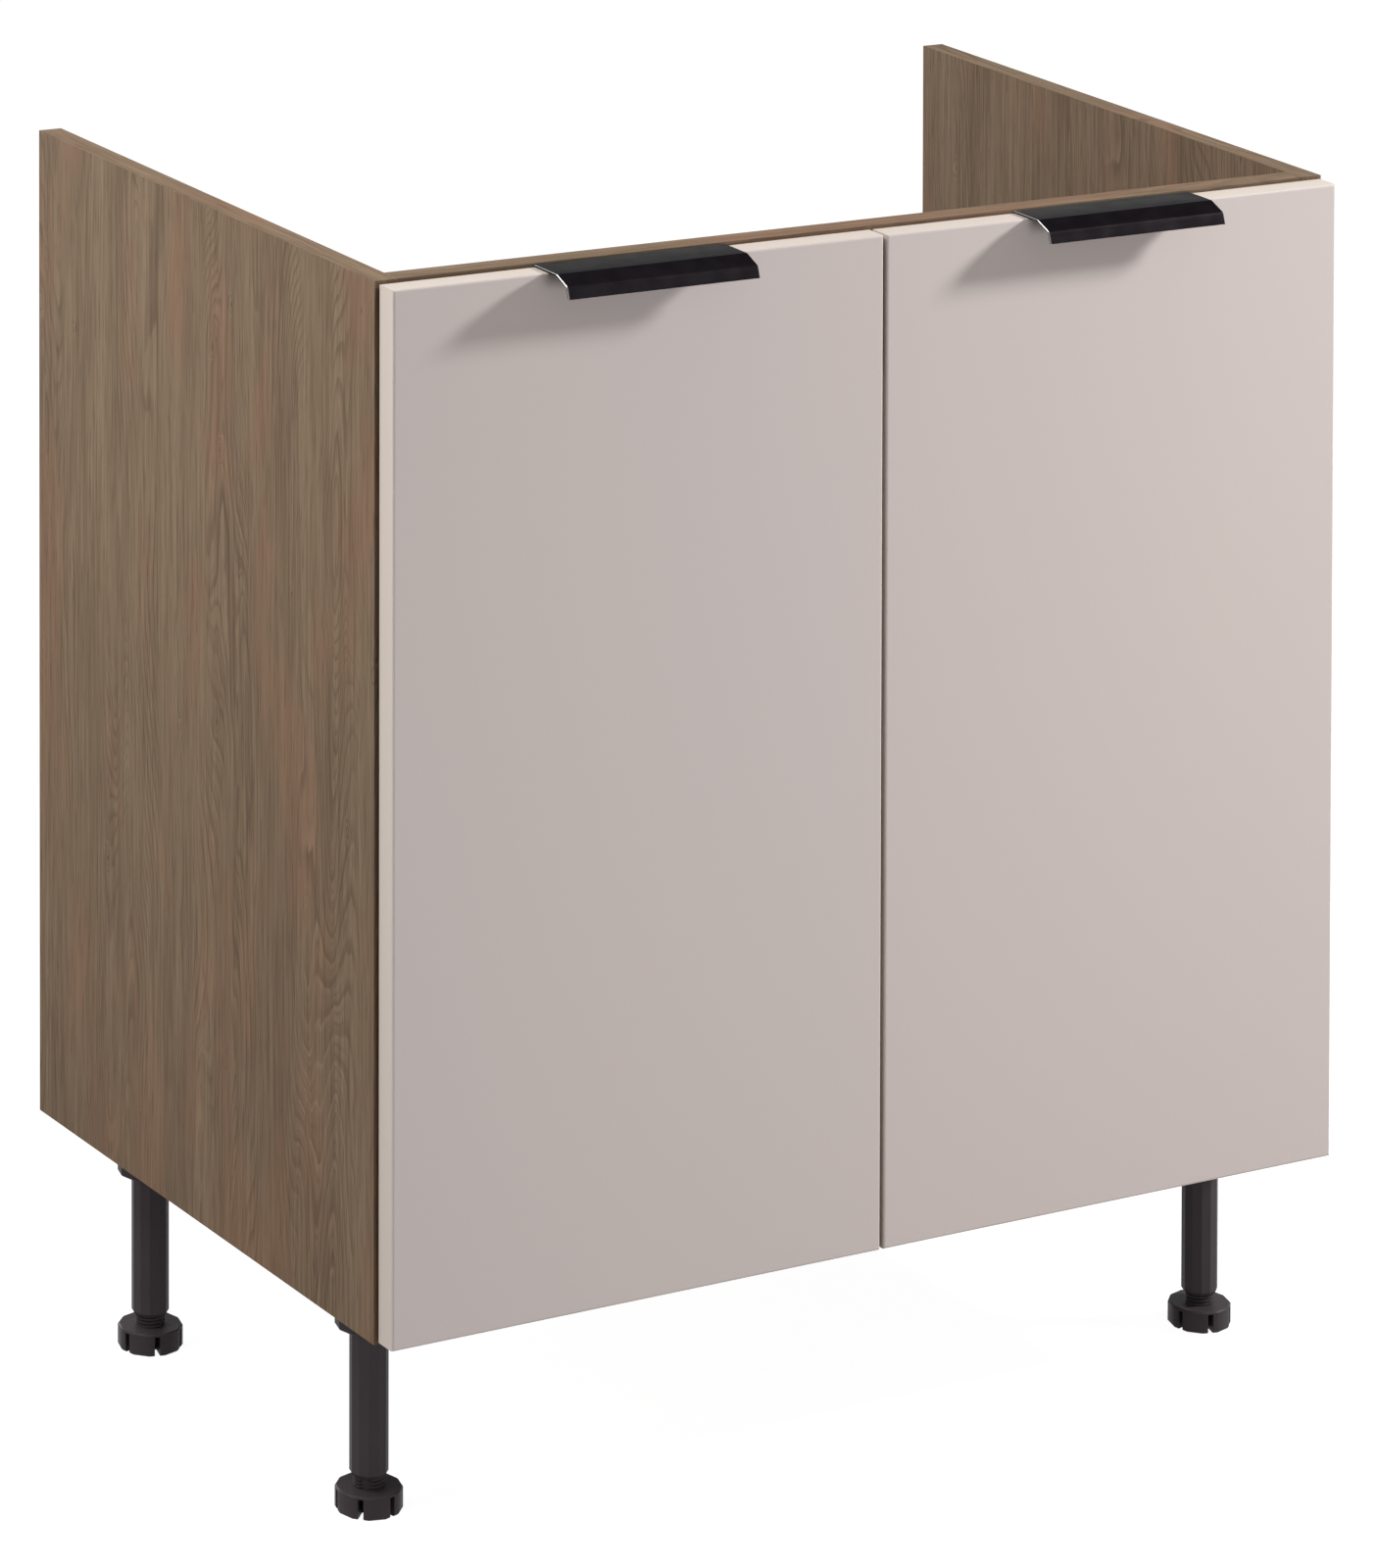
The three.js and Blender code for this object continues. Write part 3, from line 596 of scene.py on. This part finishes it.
def slotted_disc(bm):
    """The foot's disc, closed, with slots that stop under its roof."""
    levels = (
        (0, FOOT_RADIUS - FOOT_EDGE),
        (FOOT_EDGE, FOOT_RADIUS),
        (FOOT_HEIGHT - FOOT_ROOF, FOOT_RADIUS),
    )
    loops = [loop_of(bm, [(*p, z) for p in foot_outline(radius)]) for z, radius in levels]
    skin(bm, loops)
    bm.faces.new(loops[0])
    ceiling = loops[-1]
    for base in range(0, len(ceiling), SECTOR_POINTS):
        bm.faces.new(ceiling[base + SLOT_START:base + SLOT_END])

    def without_slots(points):
        return [p for i, p in enumerate(points) if i % SECTOR_POINTS not in FLOOR_POINTS]

    roof = [without_slots(ceiling)]
    for z, radius in ((FOOT_HEIGHT - FOOT_EDGE, FOOT_RADIUS), (FOOT_HEIGHT, FOOT_RADIUS - FOOT_EDGE)):
        roof.append(loop_of(bm, [(*p, z) for p in without_slots(foot_outline(radius))]))
    skin(bm, roof)
    bm.faces.new(roof[-1])


def ratio(part, whole):
    """Part of whole, kept from 0 to 1."""
    return min(1.0, max(0.0, part / whole))


def threaded_stem(bm):
    """A stem with one helical ridge, closed at both ends. The ridge stops at the flats."""
    bottom = FOOT_HEIGHT - FOOT_EDGE
    rows = round((STEM_LENGTH + FOOT_EDGE) / THREAD_PITCH * THREAD_STEPS)
    turns = [TAU * i / THREAD_SIDES for i in range(THREAD_SIDES)]

    def radius_at(turn, z):
        from_flat = abs((turn - FLAT_MIDDLE + math.pi / 2) % math.pi - math.pi / 2)
        from_crest = abs((z / THREAD_PITCH - turn / TAU) % 1 - 0.5)
        ridge = ratio(FLANK_END - from_crest, FLANK_END - FLANK_START)
        fade = ratio(from_flat - FLAT_HALF, FLAT_FADE)
        return THREAD_ROOT + (THREAD_CREST - THREAD_ROOT) * ridge * fade

    def ring(z):
        return [(radius_at(a, z) * math.cos(a), radius_at(a, z) * math.sin(a), z) for a in turns]

    loops = [loop_of(bm, ring(bottom + THREAD_PITCH * row / THREAD_STEPS)) for row in range(rows)]
    skin(bm, loops)
    bm.faces.new(loops[0])
    bm.faces.new(loops[-1])


def leg_axis(place):
    low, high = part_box(f"leg_{place}_tube")
    return (low.x + high.x) / 2, (low.y + high.y) / 2


def make_foot(place):
    bm = bmesh.new()
    slotted_disc(bm)
    threaded_stem(bm)
    turn = Matrix.Rotation(math.radians(FOOT_TURNS[place]), 4, "Z")
    bm.transform(Matrix.Translation((*leg_axis(place), 0)) @ turn)
    foot = piece(f"foot_{place}", bm, "leg_plastic", f"foot_{place}")
    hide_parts(f"leg_{place}_foot")


# ---- Screws ----
# Each kind of head: radius and height.
CUP_HEAD = (3.2 * MM, 0.7 * MM)
PULL_HEAD = (3.0 * MM, 0.2 * MM)
PLATE_HEAD = (3.8 * MM, 1.5 * MM)
ARM_HEAD = (3.4 * MM, 0.6 * MM)
LEG_HEAD = (3.2 * MM, 1.4 * MM)
HEAD_POINTS = 24
HEAD_SUNK = 0.3 * MM
# The dome over its face, in shares of the head's radius and height.
HEAD_DOME = ((1.0, 0.35), (0.93, 0.75), (0.80, 1.0))
# The cross recess, in shares of the head's radius: its arms' length and half width, and its depth.
RECESS_ARM = 0.50
RECESS_HALF = 0.14
RECESS_DEPTH = 0.55
# The width of a recess at its floor, as a share of the width at its mouth.
RECESS_TAPER = 0.55


def edges_of(bm, loop):
    """The edges of a closed loop, in its order."""
    return [bm.edges.get(ends) for ends in zip(loop, [*loop[1:], loop[0]])]


def screw_head(bm, centre, direction, radius, height):
    """A domed head with a cross recess. Its rim starts a little under the face that it lies on."""
    shape = bmesh.new()
    loops = [loop_of(shape, circle(radius, HEAD_POINTS, -HEAD_SUNK))]
    for wide, rise in HEAD_DOME:
        loops.append(loop_of(shape, circle(radius * wide, HEAD_POINTS, height * rise)))
    shape.faces.new(loops[0])
    skin(shape, loops)
    arm, half = radius * RECESS_ARM, radius * RECESS_HALF
    corner = ((arm, -half), (arm, half), (half, half))
    cross = [Matrix.Rotation(TAU * k / 4, 2) @ Vector(point) for k in range(4) for point in corner]
    mouth = loop_of(shape, [(*point, height) for point in cross])
    floor_z = height - radius * RECESS_DEPTH
    floor = loop_of(shape, [(*(vert.co.xy * RECESS_TAPER), floor_z) for vert in mouth])
    bridge(shape, mouth, floor)
    shape.faces.new(floor)
    open_edges = edges_of(shape, mouth) + edges_of(shape, loops[-1])
    bmesh.ops.triangle_fill(shape, edges=open_edges, use_beauty=True)
    turn = Vector((0, 0, 1)).rotation_difference(Vector(direction)).to_matrix().to_4x4()
    shape.transform(Matrix.Translation(centre) @ turn)
    part = bpy.data.meshes.new("screw_head")
    shape.to_mesh(part)
    shape.free()
    bm.from_mesh(part)
    bpy.data.meshes.remove(part)


CUP_SCREWS_APART = 45 * MM
PLATE_SCREWS_APART = 32 * MM
PLATE_FROM_FRONT = 37 * MM
PLATE_THICKNESS = 2 * MM
ARM_ROOF_START = 13.2 * MM
ARM_ROOF_FALL = 0.7 * MM
ARM_TAIL_HEIGHT = 7.8 * MM
ARM_SCREWS_FROM_TAIL = (7 * MM, 22 * MM)
PULL_SCREW_FROM_END = 20 * MM
PULL_SCREW_FROM_FOOT = 8 * MM
LEG_PLATE_THICKNESS = 4 * MM
LEG_SCREW_CIRCLE = 27.5 * MM
LEG_SCREWS = 4


def make_door_screws(side):
    """The screws of a door's two hinge cups and of its pull's back leg."""
    bm = bmesh.new()
    for level in LEVELS:
        low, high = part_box(f"hinge_{level}_{side}_cup")
        for sign in (-1, 1):
            z = (low.z + high.z) / 2 + sign * CUP_SCREWS_APART / 2
            screw_head(bm, ((low.x + high.x) / 2, high.y, z), (0, 1, 0), *CUP_HEAD)
    low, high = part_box(f"handle_{side}")
    back_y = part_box(f"door_{side}")[1].y + PULL_SEAT + PULL_PLATE
    for x in (low.x + PULL_SCREW_FROM_END, high.x - PULL_SCREW_FROM_END):
        screw_head(bm, (x, back_y, low.z + PULL_SCREW_FROM_FOOT), (0, 1, 0), *PULL_HEAD)
    piece(f"screws_door_{side}", bm, "screw_steel", f"door_{side}")


def make_plate_screws(side):
    """The screws of the hinge plates and arms on one side panel."""
    bm = bmesh.new()
    inward = -SIDES[side]
    face = Vector((inward, 0, 0))
    screw_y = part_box(f"side_{side}")[0].y + PLATE_FROM_FRONT
    for level in LEVELS:
        low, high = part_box(f"hinge_{level}_{side}_plate")
        base_x = low.x if inward > 0 else high.x
        z = (low.z + high.z) / 2
        for sign in (-1, 1):
            screw_z = z + sign * PLATE_SCREWS_APART / 2
            screw_head(bm, (base_x + inward * PLATE_THICKNESS, screw_y, screw_z), face, *PLATE_HEAD)
        low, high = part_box(f"hinge_{level}_{side}_arm")
        foot_x, nose_x = (low.x, high.x) if inward > 0 else (high.x, low.x)
        roof_x = nose_x - inward * ARM_ROOF_FALL
        tail_x = foot_x + inward * ARM_TAIL_HEIGHT
        roof_y = low.y + ARM_ROOF_START
        along = Vector((roof_x - tail_x, roof_y - high.y, 0)).normalized()
        out = Vector((-along.y, along.x, 0)) * inward
        for distance in ARM_SCREWS_FROM_TAIL:
            centre = Vector((tail_x, high.y, z)) + along * distance
            screw_head(bm, centre, out, *ARM_HEAD)
    piece(f"screws_hinges_{side}", bm, "screw_steel", "carcass")


def make_leg_screws():
    """The screws that hold the legs' plates up under the bottom panel."""
    bm = bmesh.new()
    for place in LEGS:
        x, y = leg_axis(place)
        plate_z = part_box(f"leg_{place}_socket")[1].z - LEG_PLATE_THICKNESS
        for i in range(LEG_SCREWS):
            turn = (i + 0.5) * TAU / LEG_SCREWS
            centre = (x + math.cos(turn) * LEG_SCREW_CIRCLE, y + math.sin(turn) * LEG_SCREW_CIRCLE, plate_z)
            screw_head(bm, centre, (0, 0, -1), *LEG_HEAD)
    piece("screws_legs", bm, "screw_steel", "carcass")


# ---- Camera ----
# The photograph's size in pixels, and the camera fitted to its edges: its place, its turns from
# level, its focal length and the point it faces, in pixels, and how far a row of pixels rises for
# each pixel to the right.
PHOTO_WIDTH, PHOTO_HEIGHT = 1404, 1600
CAMERA_PLACE = Vector((-2.7197, -4.1633, 2.0052))
CAMERA_YAW, CAMERA_PITCH, CAMERA_ROLL = (math.radians(a) for a in (32.803, 2.0459, 0.1390))
FOCAL_PIXELS = 7049.9
PRINCIPAL_X, PRINCIPAL_Y = 674.8, -1185.2
ROW_SLANT = 0.03986
SENSOR = 36.0
FAR = 50


def make_camera():
    """The photograph's view: a level camera whose picture plane lies far off its axis, with rows
    slightly slanted. The slant and the offset are in the camera's parent matrix."""
    ahead = Vector((math.sin(CAMERA_YAW), math.cos(CAMERA_YAW), 0))
    right = Vector((math.cos(CAMERA_YAW), -math.sin(CAMERA_YAW), 0))
    level = Matrix((right, (0, 0, -1), ahead))
    tilt = Matrix.Rotation(CAMERA_PITCH, 3, "X") @ Matrix.Rotation(CAMERA_ROLL, 3, "Z")
    axes = (tilt @ level).transposed()
    step_right = axes @ Vector((1, -ROW_SLANT, 0)) / FOCAL_PIXELS
    step_down = axes @ Vector((0, 1, 0)) / FOCAL_PIXELS
    off_x = PHOTO_WIDTH / 2 - PRINCIPAL_X
    off_y = PHOTO_HEIGHT / 2 - PRINCIPAL_Y
    centre = axes @ Vector((0, 0, 1)) + step_right * off_x + step_down * off_y
    view = Matrix((step_right.normalized(), -step_down.normalized(), -centre.normalized())).transposed()
    data = bpy.data.cameras.new("camera")
    data.sensor_fit = "VERTICAL"
    data.sensor_height = SENSOR
    data.sensor_width = SENSOR
    data.lens = SENSOR * centre.length / step_down.length / PHOTO_HEIGHT
    data.clip_end = FAR
    camera = bpy.data.objects.new("camera", data)
    holder = bpy.data.objects.new("camera_holder", None)
    bpy.context.scene.collection.objects.link(camera)
    bpy.context.scene.collection.objects.link(holder)
    camera.parent = holder
    camera.matrix_parent_inverse = Matrix.Translation(CAMERA_PLACE) @ view.to_4x4()
    bpy.context.scene.camera = camera


# ---- Light and floor ----
AIM = Vector((0, -0.1, 0.5))
# Name: place, diameter and watts. The key's direction follows from the shadows of the two pulls.
LAMPS = {
    "key": ((2.2, -1.06, 1.85), 0.38, 84),
    "left": ((-1.9, 0.0, 0.8), 0.9, 10.8),
    "front": ((0.0, -2.6, 0.4), 1.0, 18.5),
    "top": ((-1.2, 0.4, 2.2), 1.1, 29),
    "back": ((-0.6, 2.7, 0.6), 1.1, 24),
}
WORLD_LEVEL = 0.22
FLOOR_GLOW = 0.95
FLOOR_REACH = 12


def make_lamp(name, place, diameter, watts):
    data = bpy.data.lights.new(name, "AREA")
    data.shape = "DISK"
    data.size = diameter
    data.energy = watts
    lamp = bpy.data.objects.new(name, data)
    lamp.location = place
    lamp.rotation_euler = (AIM - Vector(place)).to_track_quat("-Z", "Y").to_euler()
    bpy.context.scene.collection.objects.link(lamp)


def make_world():
    """White where it is seen, and softer as a light."""
    world = bpy.data.worlds.new("studio")
    bpy.context.scene.world = world
    t = Tree(world, "Background")
    strength = t.node("MapRange", {"Value": t.seen_directly(), "To Min": WORLD_LEVEL, "To Max": 1.0})
    t.finish(Color=(1, 1, 1, 1), Strength=strength.outputs["Result"])


def make_floor():
    """A pale floor that shows as white, down to the object's shadow."""
    bm = bmesh.new()
    bmesh.ops.create_grid(bm, x_segments=1, y_segments=1, size=FLOOR_REACH)
    mesh = bpy.data.meshes.new("floor")
    bm.to_mesh(mesh)
    bm.free()
    t = Tree(bpy.data.materials.new("floor"))
    speckle = t.noise(t.place(), scale=40, detail=3)
    mesh.materials.append(t.finish(
        Base_Color=t.mix(t.spread(speckle), linear(FLOOR_PALE), linear(FLOOR_SPECK)),
        Roughness=0.9,
        Specular_IOR_Level=0.0,
        Emission_Color=(1, 1, 1, 1),
        Emission_Strength=t.times(t.seen_directly(), FLOOR_GLOW),
    ))
    floor = bpy.data.objects.new("floor", mesh)
    bpy.context.scene.collection.objects.link(floor)


paint_packed_model()
for side_name in SIDES:
    make_pull(side_name)
    make_door_screws(side_name)
    make_plate_screws(side_name)
for leg_place in LEGS:
    make_foot(leg_place)
make_leg_screws()
make_camera()
make_world()
make_floor()
for lamp_name, (lamp_place, lamp_size, lamp_power) in LAMPS.items():
    make_lamp(lamp_name, lamp_place, lamp_size, lamp_power)
bpy.context.scene.view_settings.view_transform = "Standard"
